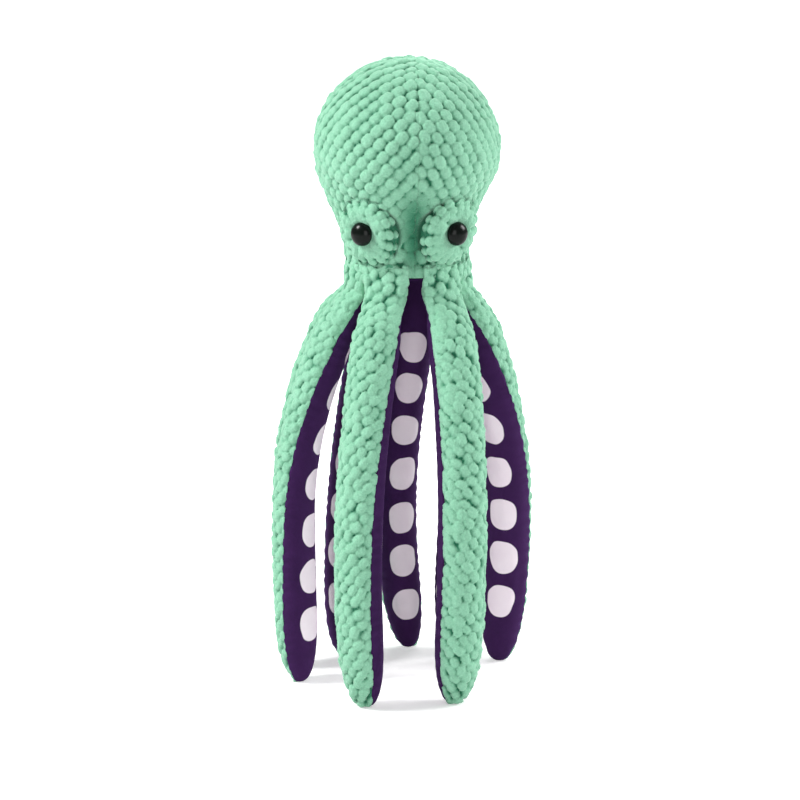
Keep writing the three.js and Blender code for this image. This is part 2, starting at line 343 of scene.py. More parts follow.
def spot_print(tree, purple, pale):
    """The colour of the printed cloth, drawn on its flat places."""
    cloth = tree.nodes.new("ShaderNodeUVMap")
    cloth.uv_map = "cloth"
    waver = noise_at(tree, 2 / spot_pitch, detail=1).outputs["Color"]
    wavered = {0: waver, 1: (2 * spot_waver, 2 * spot_waver, 0), 2: cloth.outputs["UV"]}
    shift = add_node(tree, "VectorMath", wavered, "MULTIPLY_ADD").outputs["Vector"]
    place = add_node(tree, "SeparateXYZ", {"Vector": shift}).outputs
    across = maths(tree, "SUBTRACT", place["X"], spot_waver)
    along = maths(tree, "SUBTRACT", place["Y"], first_spot + spot_waver)
    number = maths(tree, "ROUND", maths(tree, "DIVIDE", along, spot_pitch))
    kept = maths(tree, "MINIMUM", maths(tree, "MAXIMUM", number, 0), spot_count - 1)
    offset = maths(tree, "SUBTRACT", along, maths(tree, "MULTIPLY", kept, spot_pitch))
    parts = []
    for distance, half_size in ((across, spot_half_width), (offset, spot_half_length)):
        share = maths(tree, "ABSOLUTE", maths(tree, "DIVIDE", distance, half_size))
        parts.append(maths(tree, "POWER", share, spot_squareness))
    blur = spot_edge / spot_half_width
    printed = spread(tree, maths(tree, "ADD", *parts), 1, 0, 1 - blur, 1 + blur)
    return blend_colours(tree, printed, purple, pale)


def velboa_material(name, with_spots):
    material, tree, shader = new_material(name)
    pile = add_pile(tree, shader, velboa_grain, velboa_nap, velboa_pile_depth, strength=0.35)
    cloth_colour = blend_colours(tree, pile["Cloud"], colour("#2f1341"), colour("#3d1b50"))
    if with_spots:
        pale = blend_colours(tree, pile["Cloud"], colour("#f2e3ee"), colour("#faf0f7"))
        cloth_colour = spot_print(tree, cloth_colour, pale)
    feed(tree, shader, {
        "Base Color": cloth_colour,
        "Sheen Weight": 0.25,
        "Sheen Roughness": 0.45,
        "Sheen Tint": colour("#8a4fb8"),
        "Specular IOR Level": 0.2,
    })
    return material


plain_velboa = velboa_material("purple_velboa", with_spots=False)
spotted_velboa = velboa_material("spotted_velboa", with_spots=True)
print("spots on each arm:", spot_count)

# %% [markdown]
# The hard parts are two safety eyes of glossy black plastic and their pale lock washers. Real
# polished plastic has a faint haze, so the roughness varies slightly. The filling is polyester
# fibre, which is white and matte with soft tangles.

# %% Plastic and filling
def hazy_plastic(name, scale, detail, roughness, colours, gloss):
    material, tree, shader = new_material(name)
    haze = noise_at(tree, scale, detail).outputs["Fac"]
    rough = spread(tree, haze, *roughness)
    mottled = blend_colours(tree, haze, *(colour(code) for code in colours))
    feed(tree, shader, {"Roughness": rough, "Base Color": mottled, **gloss})
    return material


black_plastic = hazy_plastic(
    "black_eye_plastic", scale=400, detail=4, roughness=(0.16, 0.3), colours=("#040906", "#08110c"),
    gloss={"Coat Weight": 0.04, "Specular IOR Level": 0.16, "Coat Roughness": 0.05},
)
washer_plastic = hazy_plastic(
    "pale_washer_plastic", scale=900, detail=2, roughness=(0.35, 0.55), colours=("#dcdcd6", "#f0f0ea"),
    gloss={},
)

fibre_grain = 0.0016
fibre_nap = 0.02
fibre_depth = 0.0008
fibre_filling, tree, shader = new_material("white_fibre_filling")
pile = add_pile(tree, shader, fibre_grain, fibre_nap, fibre_depth, strength=0.8)
feed(tree, shader, {"Base Color": blend_colours(tree, pile["Fleck"], colour("#dedfda"), colour("#fbfbf8"))})
print("finishes:", len(bpy.data.materials))

# %% [markdown]
# Every cover starts as flat cloth: a fine grid with one more cell all round, the allowance that is
# turned in at the seams. The cloth keeps its own flat places in metres as a UV map called cloth, and
# a number called tucked, which is 1 on the turned-in allowance. A function for each form then says
# where a point of the flat cloth lies on the toy.

# %% Cut and lay cloth
joined_below = 1e-5  # closer points of a finished cover become one, as at a crown or an arm's tip


def cut_cloth(name, columns, rows, turned_in_at_end=False):
    """A flat grid. Gives the mesh, the share across and along of each point, and its tucked number."""
    cloth = bmesh.new()
    bmesh.ops.create_grid(cloth, x_segments=columns + 2, y_segments=rows + 1 + turned_in_at_end, size=1)
    mesh = bpy.data.meshes.new(name)
    cloth.to_mesh(mesh)
    cloth.free()
    flat = points_of(mesh)
    column = np.rint((flat[:, 0] - flat[:, 0].min()) / np.ptp(flat[:, 0]) * (columns + 2)) - 1
    row = np.rint((flat[:, 1] - flat[:, 1].min()) / np.ptp(flat[:, 1]) * (rows + 1 + turned_in_at_end)) - 1
    across = np.clip(column / columns, 0, 1)
    along = np.clip(row / rows, 0, 1)
    tucked = ((column < 0) | (column > columns) | (row < 0) | (row > rows)).astype(float)
    return mesh, across, along, tucked


def lay_cloth(mesh, places, turned_in_places, flat_places, across, along, tucked):
    """Puts the points of a cut cloth where they lie on the toy and joins those that meet at its end."""
    mesh.vertices.foreach_set("co", places.ravel())
    corners = numbers_in(mesh.loops, "vertex_index", 1, int)
    print_map = mesh.uv_layers.new(name="cloth")
    print_map.data.foreach_set("uv", flat_places[corners].ravel())
    for note, values in (("tucked", tucked), ("from_edge", np.minimum(across, 1 - across))):
        mesh.attributes.new(note, "FLOAT", "POINT").data.foreach_set("value", values)
    turned_in = mesh.attributes.new("turned_in", "FLOAT_VECTOR", "POINT")
    turned_in.data.foreach_set("vector", turned_in_places.ravel())
    laid = bmesh.new()
    laid.from_mesh(mesh)
    at_end = [point for point, share in zip(laid.verts, along) if share == 1]
    bmesh.ops.remove_doubles(laid, verts=at_end, dist=joined_below)
    laid.to_mesh(mesh)
    laid.free()
    mesh.update()


def numbers_in(layer, field, width, kind=float):
    """What each item of a layer of a mesh has in a field, as an array."""
    numbers = np.empty(len(layer) * width, kind)
    layer.foreach_get(field, numbers)
    return numbers.reshape(-1, width) if width > 1 else numbers


def points_of(mesh):
    return numbers_in(mesh.vertices, "co", 3)


def normals_of(mesh):
    return numbers_in(mesh.vertex_normals, "vector", 3)


def note_of(mesh, note):
    """A number noted for each point: tucked, or from_edge, its distance from the nearer side edge of
    its cloth as a share of the cloth's width."""
    return numbers_in(mesh.attributes[note].data, "value", 1)


def turn_in_edges(mesh):
    """Sinks the allowance of a finished cover to its turned-in place and drops the notes made for it."""
    tucked = note_of(mesh, "tucked") > 0
    places = points_of(mesh)
    places[tucked] = numbers_in(mesh.attributes["turned_in"].data, "vector", 3)[tucked]
    mesh.vertices.foreach_set("co", places.ravel())
    for note in ("turned_in", "tucked", "from_edge"):
        mesh.attributes.remove(mesh.attributes[note])
    mesh.update()


def unit(vectors):
    return vectors / np.linalg.norm(vectors, axis=-1, keepdims=True)


def smooth_share(value):
    """0 below 0, 1 above 1, and an S-shaped rise between."""
    value = np.clip(value, 0, 1)
    return value * value * (3 - 2 * value)


# %% [markdown]
# Stuffing swells a cover between its seams. Blender's cloth simulation shows how: a coarse copy of
# the cover is held along its seams and blown up by pressure without gravity, and the way that each of
# its points moves is kept. The fine covers are then laid with that swelling added. The amount is
# printed for each cover: on three of the arms the simulation moves nothing, so those three keep their
# plain form.

# %% Stuff the covers
stuffing_pressure = 4
stuffing_frames = 20
cloth_mass = 0.02
cloth_tension = 5
cloth_bending = 0.05
most_swelling = 0.001  # farther than this no point may move
unstuffed_sink = 0.0005  # of the head cover under its stuffed form, before it swells


def swelling_of(name, places, held):
    """How far stuffing moves each point of a coarse cover, given as rows of columns of places."""
    columns = places.shape[1]
    coarse = bmesh.new()
    points = [[coarse.verts.new(place) for place in row] for row in places]
    for upper, lower in zip(points, points[1:]):
        for column in range(columns - 1):
            coarse.faces.new((upper[column], lower[column], lower[column + 1], upper[column + 1]))
    coarse.normal_update()
    middle = Vector(places.mean(axis=(0, 1)))
    if sum(face.normal.dot(face.calc_center_median() - middle) for face in coarse.faces) < 0:
        bmesh.ops.reverse_faces(coarse, faces=coarse.faces)
    mesh = bpy.data.meshes.new(name)
    coarse.to_mesh(mesh)
    coarse.free()
    copy = bpy.data.objects.new(name, mesh)
    bpy.context.scene.collection.objects.link(copy)
    held_points = [int(number) for number in np.flatnonzero(held.ravel())]
    copy.vertex_groups.new(name="held").add(held_points, 1, "REPLACE")
    cloth = copy.modifiers.new("stuffing", "CLOTH").settings
    cloth.vertex_group_mass = "held"
    cloth.mass = cloth_mass
    cloth.tension_stiffness = cloth_tension
    cloth.compression_stiffness = cloth_tension
    cloth.bending_stiffness = cloth_bending
    cloth.use_pressure = True
    cloth.uniform_pressure_force = stuffing_pressure
    cloth.effector_weights.gravity = 0
    start = bpy.context.scene.frame_current
    for frame_number in range(1, stuffing_frames + 1):
        bpy.context.scene.frame_set(frame_number)
    blown_up = copy.evaluated_get(bpy.context.evaluated_depsgraph_get())
    moved = np.array([point.co for point in blown_up.data.vertices]).reshape(places.shape) - places
    bpy.context.scene.frame_set(start)
    bpy.data.objects.remove(copy)
    bpy.data.meshes.remove(mesh)
    far = np.linalg.norm(moved, axis=2, keepdims=True)
    print(name, "swells by up to", round(far.max() * 1000, 2), "millimetres")
    return moved * np.minimum(most_swelling / np.maximum(far, joined_below), 1)


def swelling_at(swelling, row, column):
    """The swelling between the points of a coarse cover."""
    row = np.clip(row, 0, swelling.shape[0] - 1)
    column = np.clip(column, 0, swelling.shape[1] - 1)
    above = np.minimum(row.astype(int), swelling.shape[0] - 2)
    before = np.minimum(column.astype(int), swelling.shape[1] - 2)
    down = (row - above)[..., None]
    over = (column - before)[..., None]
    upper = swelling[above, before] * (1 - over) + swelling[above, before + 1] * over
    lower = swelling[above + 1, before] * (1 - over) + swelling[above + 1, before + 1] * over
    return upper * (1 - down) + lower * down


print("stuffing is simulated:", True)

# %% [markdown]
# Bobbled plush is woven with rows of small tufts, each a little longer along its row. The rows run
# slantwise over a panel and every second one is shifted by half a tuft, so the tufts nest like the
# scales of a pineapple. Their middles are set out on the flat cloth with a little disorder and
# carried to the toy with it. A point of the cover then rises by how near it is to its nearest tuft,
# with a deep crease where two caps meet, and the caps are combed over up their rows.

# %% Raise the bobbles
bobble_pitch = 0.0066  # along a row
row_pitch = 0.0056
bobble_spread = 0.00355  # radius at which a cap would run out
cap_fullness = 2.7  # exponent: 2 is a half ball, more is a fuller pillow
bobble_height = 0.0031
bobble_sink = 0.0024  # of the cover's own surface below the form, so that the caps end near it
bobble_comb = 0.0009  # how far the caps are combed over, up their rows
tuft_stretch = 0.0009  # of a tuft along its row, each way from its middle
bobble_disorder = 0.0004
height_disorder_share = 0.16
width_disorder_share = 0.08
seam_sink = 0.0004  # of the cloth at a seam
crease_from_share = 0.88  # of a cap's height, above which no painted crease shade is laid
seam_crease_share = 0.5  # of the painted crease shade that is lost at a seam
pressed_shade = 0.85  # of the full painted crease shade, laid where a piece presses on the cover
crumple_height = 0.0003  # of the small unevenness of the tufts themselves
crumple_size = 0.0021
arm_bobble_scale = 0.9  # the arms' tufts are gathered closer than the head's
arm_disorder = 0.0006
arm_lean_disorder = 30  # degrees


def slanted_rows(width, length, slant, disorder, scale, seed):
    """Middles of the tufts on a flat panel from -width/2 to width/2 and from 0 to length."""
    chance = np.random.default_rng(seed)
    pitch, apart = bobble_pitch * scale, row_pitch * scale
    reach = int((width + length) / apart) + 2
    row, step = np.meshgrid(np.arange(-reach, reach + 1), np.arange(-reach, reach + 1))
    in_row = (step + (row % 2) / 2) * pitch
    down = row * apart
    lean = math.radians(slant)
    flat = np.stack([
        in_row * math.cos(lean) - down * math.sin(lean),
        in_row * math.sin(lean) + down * math.cos(lean),
    ], axis=-1).reshape(-1, 2)
    flat = flat + chance.uniform(-disorder, disorder, flat.shape)
    inside = (abs(flat[:, 0]) < width / 2 + pitch) & (abs(flat[:, 1] - length / 2) < length / 2 + pitch)
    return flat[inside]


def raise_bobbles(mesh, tufts, seed, strength=1, at_seam=0, pressed=0, shade=0, scale=1, comb=None):
    """Lifts a laid cover into tufts. Each tuft is a short row of places, and tufts holds the first
    places of all of them, then the second ones, and so on.

    strength is 1 for full tufts, at_seam is 1 where a seam pulls the cloth in, pressed is 1 where
    another piece presses it flat and paints shade there, and shade is 1 where little light gets in
    and shade is painted into the colour, each for every point.
    comb is the direction in which each tuft's cap is combed over.
    """
    chance = np.random.default_rng(seed)
    count = tufts.shape[1]
    rise = 1 + chance.uniform(-height_disorder_share, height_disorder_share, count)
    spread = bobble_spread * scale * (1 + chance.uniform(-width_disorder_share, width_disorder_share, count))
    tree = KDTree(len(tufts) * count)
    for number, middle in enumerate(tufts.reshape(-1, 3)):
        tree.insert(middle, number)
    tree.balance()
    places = points_of(mesh)
    normals = normals_of(mesh)
    tucked = note_of(mesh, "tucked")
    caps = np.zeros(len(places))
    crumple = np.zeros(len(places))
    nearest = np.zeros(len(places), int)
    for number, place in enumerate(places):
        found = tree.find(place)
        nearest[number] = found[1] % count
        share = min(found[2] / spread[nearest[number]], 1)
        caps[number] = math.sqrt(1 - share ** cap_fullness) * rise[nearest[number]]
        crumple[number] = noise.noise(Vector(place) / crumple_size)
    lift = ((caps - 1) * bobble_height * strength + bobble_height) * scale - bobble_sink
    lift = lift + crumple_height * crumple
    lift = lift + (-seam_sink - lift) * at_seam
    lift = (lift + (-bobble_sink - lift) * pressed) * (1 - tucked)
    moved = normals * lift[:, None]
    if comb is not None:
        moved += comb[nearest] * (bobble_comb * caps * (1 - at_seam) * (1 - pressed) * (1 - tucked))[:, None]
    mesh.vertices.foreach_set("co", (places + moved).ravel())
    # A mask of painted shade for the plush's colour: deep between caps, less at seams, darker where pressed
    # or shaded.
    depth = np.clip((crease_from_share - caps) / crease_from_share, 0, 1) * strength
    depth = depth * (1 - seam_crease_share * at_seam)
    depth = np.maximum(depth, np.maximum(shade, pressed * pressed_shade))
    mesh.attributes.new("painted_shade", "FLOAT", "POINT").data.foreach_set("value", depth)
    mesh.update()


print("tufts on a square decimetre:", round(0.01 / (bobble_pitch * row_pitch)))

# %% [markdown]
# The head is two panels, sewn together over the crown and down the middle of the face. Each could be
# cut from half a ball, but its outline is what makes the toy: a round bulb that draws in to a long
# neck. So the outline is written once as a curve, measured along its own length, and each panel lies
# on it. Each panel is laid in two gores, as darts would, so that its rows stay even round the head.
# The rows slant down from the seam and meet in chevrons there. The tufts of both panels are then
# pushed apart together until they lie evenly, also across the seam. The seam is pulled in a little,
# and so is the strip of face between the two eye pads.

# %% Form of the head
head_width = 0.094
head_height = crown - neck_edge
head_widest_height = 0.0595
neck_width = 0.062
neck_draw_in = 1.4
seam_turn = math.radians(5.5)  # the seam sits a little to the right of the face's middle
outline_steps = 400
pad_height = neck_edge + 0.0225
pad_turn = math.radians(36)
face_strip_depth = 0.003
face_strip_turn = math.radians(4)
face_strip_spread = math.radians(12)
face_strip_reach = 0.02  # up and down from the middle of the eyes
face_strip_flatness = 4  # exponent: more is an even depth with a steeper end
seam_pull = 0.0003
seam_pull_share = 0.25  # of the tufts that the seam pulls in
seam_pull_reach = 0.0013
calm_share = 0.65  # of the tufts' height that the strip of face loses
crown_slide = math.radians(4.3)  # of the cloth over the crown, towards the right
stuffing_lumps = ((-90, 0.078, 0.0012), (90, 0.034, -0.0018), (-90, 0.02, 0.001))  # turn, rise, height
lump_turn = math.radians(55)
lump_rise = 0.018
pad_press_reach = 0.0144  # of an eye pad's press on the head, from the pad's middle


def head_outline():
    """Radius and height of the head's outline with the length along it, from the neck to the crown."""
    lower = np.linspace(0, head_widest_height, outline_steps)
    swell = ((1 + np.cos(math.pi * (head_widest_height - lower) / head_widest_height)) / 2) ** neck_draw_in
    climb = np.linspace(0, math.pi / 2, outline_steps)[1:]
    radius = np.concatenate([
        neck_width / 2 + (head_width - neck_width) / 2 * swell,
        head_width / 2 * np.cos(climb),
    ])
    height = np.concatenate([lower, head_widest_height + (head_height - head_widest_height) * np.sin(climb)])
    length = np.concatenate([[0], np.cumsum(np.hypot(np.diff(radius), np.diff(height)))])
    return radius, height, length


head_radius, head_rise, head_length = head_outline()


def strip_share(turn, rise):
    """1 in the middle of the strip of face between the eye pads, 0 away from it."""
    strip = np.exp(-((turn - face_strip_turn) / face_strip_spread) ** 2)
    return strip * np.exp(-((rise + neck_edge - pad_height) / face_strip_reach) ** face_strip_flatness)


def head_place(turn, length, depth):
    """Points on the head at a turn from the front, a length up its outline and a depth below it."""
    radius = np.interp(length, head_length, head_radius)
    rise = np.interp(length, head_length, head_rise)
    out = np.interp(length, head_length, np.gradient(head_rise, head_length))
    up = -np.interp(length, head_length, np.gradient(head_radius, head_length))
    from_seam = radius * np.sin(turn - seam_turn)
    valley = seam_pull * np.exp(-(from_seam / seam_pull_reach) ** 2)
    lumps = sum(
        height * np.exp(-((turn - math.radians(side)) / lump_turn) ** 2 - ((rise - at) / lump_rise) ** 2)
        for side, at, height in stuffing_lumps
    )
    below = depth + valley - lumps + unstuffed_sink
    x = (radius - below * out) * np.sin(turn)
    y = -(radius - below * out) * np.cos(turn)
    z = rise - below * up
    above_widest = np.maximum(z - head_widest_height, 0)
    slide = crown_slide * smooth_share(above_widest / (head_height - head_widest_height))
    above = above_widest * np.cos(slide) - x * np.sin(slide)
    x = x * np.cos(slide) + above_widest * np.sin(slide)
    z = np.where(z > head_widest_height, head_widest_height + above, z)
    sunk = 1 - face_strip_depth * strip_share(turn, rise) / np.maximum(radius, face_strip_depth)
    places = np.stack([toy_axis.x + x * sunk, toy_axis.y + y * sunk, neck_edge + z], axis=-1)
    if head_swelling is None:
        return places
    from_seam = np.mod(turn - seam_turn, 2 * math.pi) / (2 * math.pi) * (head_swelling.shape[1] - 1)
    up_head = length / head_length[-1] * (head_swelling.shape[0] - 1)
    from_seam, up_head = np.broadcast_arrays(from_seam, up_head)
    return places + swelling_at(head_swelling, up_head, from_seam)


coarse_head_columns = 48
coarse_head_rows = 36
head_swelling = None
coarse_turn = np.linspace(0, 2 * math.pi, coarse_head_columns + 1)
coarse_length = np.linspace(0, head_length[-1], coarse_head_rows + 1)
coarse_turns, coarse_lengths = np.meshgrid(coarse_turn, coarse_length)
at_a_seam = np.isin(np.arange(coarse_head_columns + 1), (0, coarse_head_columns // 2, coarse_head_columns))
held = at_a_seam[None] | (coarse_lengths == 0) | (coarse_lengths == head_length[-1])
head_swelling = swelling_of("coarse_head", head_place(seam_turn + coarse_turns, coarse_lengths, 0), held)
pad_rise_length = np.interp(pad_height - neck_edge, head_rise[:outline_steps], head_length[:outline_steps])
print("length of the head's outline in metres:", round(head_length[-1], 4))

# %% The two covers of the head
panel_columns = 200
panel_rows = 190
panel_slants = {-1: 47, 1: 58}
low_panel_slant = 60  # of the rows near the neck
# Degrees from the front seam: where a gore begins and ends, and where its cloth hangs straight
head_gores = ((0, 90, 22), (90, 180, 135))
head_row_seed = 3
head_tuft_seed = 11
settle_rounds = 24
settle_step = 0.3
settle_reach = 1.5  # times the pitch
edge_share = 0.3  # of the pitch that is kept free of middles at a seam
turn_in = 0.0022
neck_seam_reach = 0.003
strip_shade = 0.6
pad_shade_reach = 0.003


def settled(turn, length):
    """Moves the tufts of both panels, given by turn and length, until they lie evenly."""
    for _ in range(settle_rounds):
        radius = np.maximum(np.interp(length, head_length, head_radius), bobble_pitch)
        middles = head_place(turn, length, 0)
        up = unit(head_place(turn, length + bobble_sink, 0) - middles)
        aside = np.stack([np.cos(turn), np.sin(turn), 0 * turn], axis=-1)
        apart = middles[:, None] - middles[None]
        distance = np.linalg.norm(apart, axis=2)
        push = np.clip(1 - distance / (settle_reach * bobble_pitch), 0, 1) ** 2 * (distance > 0)
        shift = (apart * (push / np.maximum(distance, joined_below))[:, :, None]).sum(1)
        shift = shift * settle_step * bobble_pitch
        turn = turn + (shift * aside).sum(1) / radius
        length = length + (shift * up).sum(1)
        length = np.clip(length, edge_share * bobble_pitch, head_length[-1] - bobble_sink)
    return turn, length


def head_tufts():
    """Tufts of both panels as two ends each, and the direction in which they are combed."""
    turns, lengths, sides = [], [], []
    for side, slant in panel_slants.items():
        rows = slanted_rows(
            head_width * math.pi, head_length[-1], -slant, bobble_disorder,
            scale=1, seed=head_row_seed + side,
        )
        radius = np.maximum(np.interp(rows[:, 1], head_length, head_radius), joined_below)
        for gore_from, gore_to, straight_at in np.radians(head_gores):
            turn = straight_at + rows[:, 0] / radius
            edge = edge_share * bobble_pitch / radius
            kept = (turn > np.maximum(gore_from, edge)) & (turn <= np.minimum(gore_to, math.pi - edge))
            kept = kept & (rows[:, 1] > 0) & (rows[:, 1] < head_length[-1])
            turns.append(seam_turn + side * turn[kept])
            lengths.append(rows[kept, 1])
            sides.append(np.full(kept.sum(), side))
    side = np.concatenate(sides)
    turn, length = settled(np.concatenate(turns), np.concatenate(lengths))
    rise = np.interp(length, head_length, head_rise)
    slant = np.where(side < 0, panel_slants[-1], panel_slants[1])
    slant = np.radians(slant + (low_panel_slant - slant) * smooth_share(1 - rise / head_widest_height))
    radius = np.maximum(np.interp(length, head_length, head_radius), bobble_pitch)
    ends = []
    for end in (-1, 1):
        end_turn = turn - side * end * tuft_stretch * np.cos(slant) / radius
        end_length = np.clip(length + end * tuft_stretch * np.sin(slant), 0, head_length[-1])
        ends.append(head_place(end_turn, end_length, 0))
    return np.stack(ends), unit(ends[1] - ends[0])


def head_cover(side, name):
    mesh, across, along, tucked = cut_cloth(name, panel_columns, panel_rows)
    middle_turn = seam_turn + side * math.pi / 2
    turn = middle_turn + (across - 0.5) * math.pi
    length = along * head_length[-1]
    places = head_place(turn, length, 0)
    flat = np.stack([(turn - middle_turn) * np.interp(length, head_length, head_radius), length], axis=-1)
    lay_cloth(mesh, places, head_place(turn, length, turn_in), flat, across, along, tucked)
    points = points_of(mesh)
    from_plane = (points[:, 0] - toy_axis.x) * math.cos(seam_turn)
    from_plane += (points[:, 1] - toy_axis.y) * math.sin(seam_turn)
    at_seam = seam_pull_share * (1 - smooth_share(abs(from_plane) / seam_pull_reach))
    at_seam = np.maximum(at_seam, 1 - smooth_share((points[:, 2] - neck_edge) / neck_seam_reach))
    front = np.arctan2(points[:, 0] - toy_axis.x, toy_axis.y - points[:, 1])
    calm = strip_share(front, points[:, 2] - neck_edge)
    under_pad = np.zeros(len(points))
    for pad_side in (-1, 1):
        pad_middle = head_place(pad_side * pad_turn, pad_rise_length, 0)
        from_pad = np.linalg.norm(points - pad_middle, axis=1)
        under_pad = np.maximum(under_pad, 1 - smooth_share((from_pad - pad_press_reach) / pad_shade_reach))
    # The press of the eye pads and the strip of face are also painted with shade in the plush's colour.
    raise_bobbles(
        mesh, head_bobbles, head_tuft_seed, strength=1 - calm_share * calm, at_seam=at_seam,
        pressed=under_pad, shade=strip_shade * calm, comb=head_comb,
    )
    turn_in_edges(mesh)
    return show(name, mesh, mint_plush)


def dress(piece, body, node):
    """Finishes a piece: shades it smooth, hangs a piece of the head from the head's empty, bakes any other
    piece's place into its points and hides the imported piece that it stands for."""
    make_smooth(piece)
    if body == "head":
        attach(piece, body)
    else:
        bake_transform(piece)
    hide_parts(node)
    print(piece.name, "faces:", len(piece.data.polygons))


sides = {"left": -1, "right": 1}
head_bobbles, head_comb = head_tufts()
for side_name, side in sides.items():
    cover = head_cover(side, f"head_{side_name}_plush")
    dress(cover, "head", f"head_{side_name}_cover")

# %% [markdown]
# Each arm hangs from a hinge at the neck and has a middle line of its own. The covers are laid round
# that line: near the neck they are wedges that fill the ring of arms, and further down they are round
# tubes that end in a blunt tip. An arm is sewn from two halves, plush outside and velboa inside. The
# line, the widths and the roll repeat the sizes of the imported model, so the covers lie where its
# arms are.

# %% Middle lines of the arms
hinge_height = 0.206
ring_radius = 0.0265
ring_turn = math.radians(6)
root_width = 0.0174
root_thickness = 0.0145
arm_width = 0.0236
arm_thickness = 0.022
root_taper_length = 0.032
root_spread = 0.8
tip_taper_length = 0.045
tip_fullness = 0.83
tip_flat_depth = 0.0005
line_steps = 240

arms = {
    "front_left": dict(turn=-32.5, swings=(-1, 3), reach=0.0585, reach_share=0.8, tip_reach=0.055,
                       roll=(-30, -40), plump_share=1.07),
    "front_right": dict(turn=32.5, swings=(-9.5, -12.5), reach=0.056, reach_share=0.7, tip_reach=0.051,
                        roll=(10, 17), plump_share=1.08),
    "side_left": dict(turn=-76.5, swings=(-11, -13), reach=0.059, reach_share=0.57, tip_reach=0.056,
                      roll=(-30, -48), plump_share=0.98, print_shift=0.003),
    "side_right": dict(turn=76.5, swings=(26, 39), reach=0.059, reach_share=0.75, tip_reach=0.0575,
                       roll=(45, 40), plump_share=1),
    "rear_left": dict(turn=-118.5, swings=(-0.5, 2), reach=0.0635, reach_share=0.55, tip_reach=0.06,
                      roll=(0, 0), plump_share=0.98),
    "rear_right": dict(turn=118.5, swings=(20, 27), reach=0.0545, reach_share=0.8, tip_reach=0.0535,
                       roll=(0, 0), plump_share=0.96),
    "back_left": dict(turn=-159.5, swings=(8, 11), reach=0.054, reach_share=0.75, tip_reach=0.053,
                      roll=(-45, -45), plump_share=0.93),
    "back_right": dict(turn=159.5, swings=(18, 11.5), reach=0.0585, reach_share=0.75, tip_reach=0.0565,
                       roll=(12, 12), plump_share=0.92, print_shift=0.01),
}


def through(at_root, at_middle, at_tip, share):
    """A value that passes through three given ones at the root, the middle and the tip of an arm."""
    return (at_root * (1 - share) * (1 - 2 * share) + at_middle * 4 * share * (1 - share)
            + at_tip * share * (2 * share - 1))


def middle_line(arm):
    """Points, directions and sideways directions down an arm, with the length along it."""
    share = np.linspace(0, 1, line_steps)
    turn = ring_turn + np.radians(arm["turn"] + through(0, *arm["swings"], share))
    out_share = np.sin(math.pi / 2 * np.minimum(share / arm["reach_share"], 1)) ** root_spread
    back_share = np.maximum((share - arm["reach_share"]) / (1 - arm["reach_share"]), 0) ** 2
    radius = ring_radius + (arm["reach"] - ring_radius) * out_share
    radius = radius - (arm["reach"] - arm["tip_reach"]) * back_share
    points = np.stack([
        radius * np.sin(turn), -radius * np.cos(turn),
        hinge_height * (1 - share) - tip_flat_depth * share,
    ], axis=-1)
    length = np.concatenate([[0], np.cumsum(np.linalg.norm(np.diff(points, axis=0), axis=1))])
    even = np.linspace(0, length[-1], line_steps)
    points = np.stack([np.interp(even, length, points[:, i]) for i in range(3)], axis=-1)
    along = unit(np.gradient(points, axis=0))
    out = unit(points * [1, 1, 0])
    out = unit(out - along * (out * along).sum(1, keepdims=True))
    side = np.cross(out, along)
    roll = -np.radians(through(0, *arm["roll"], even / length[-1]))[:, None]
    rolled_out = out * np.cos(roll) + np.cross(along, out) * np.sin(roll)
    rolled_side = np.cross(rolled_out, along)
    return dict(length=even, points=points, along=along, out=rolled_out, side=rolled_side)


root_clearance = 0.2  # degrees between two roots
front_root_angles = {"front_left": 25.5, "front_right": 25}  # towards the gap below the face
in_ring = sorted(arms, key=lambda name: arms[name]["turn"])
for before, name, after in zip(in_ring[-1:] + in_ring, in_ring, in_ring[1:] + in_ring[:1]):
    low = (arms[name]["turn"] - arms[before]["turn"]) % 360 / 2 - root_clearance
    high = (arms[after]["turn"] - arms[name]["turn"]) % 360 / 2 - root_clearance
    if after == "front_right":
        high = front_root_angles[name]
    if before == "front_left":
        low = front_root_angles[name]
    arms[name]["root_angles"] = (low, high)
for name, arm in arms.items():
    arm["line"] = middle_line(arm)
    print("arm", name, "is", round(arm["line"]["length"][-1], 3), "metres long")

# %% Form of an arm
shoulder_rise = 0.015  # of the outer cover above the hinge, where it overlaps the neck
shoulder_thickness = 0.0052  # how far the outer cover stands out from the ring at its top edge
lid_rise = 0.0072
lid_radius = 0.0302
neck_clearance = 0.0006
wedge_length = 0.025  # below the hinge, over which the wedge becomes a tube
inner_half_turn = math.pi / 2
outer_fullness = 0.7  # exponent: less is a fuller wedge above the hinge
skin_steps = 1500
ring_steps = 24


def grown_share(distance):
    return np.sin(math.pi / 2 * np.clip(distance / root_taper_length, 0, 1))


def half_thickness(arm, distance):
    """Half of an arm's thickness at a distance from its hinge, its tip included."""
    full = arm_thickness * arm["plump_share"] / 2
    length = arm["line"]["length"][-1]
    root = root_thickness / 2
    body = root + (full - root) * grown_share(distance)
    tip_share = np.clip((distance - (length - tip_taper_length)) / tip_taper_length, 0, 1)
    return body * np.maximum(1 - tip_share ** (2 / tip_fullness), 0) ** (tip_fullness / 2)


def down_the_arm(arm, start):
    """Distances from the hinge and the length along the skin, from a start to the tip."""
    distance = start + (arm["line"]["length"][-1] - start) * np.sin(np.linspace(0, math.pi / 2, skin_steps))
    radius = half_thickness(arm, distance)
    skin = np.concatenate([[0], np.cumsum(np.hypot(np.diff(distance), np.diff(radius)))])
    return distance, skin


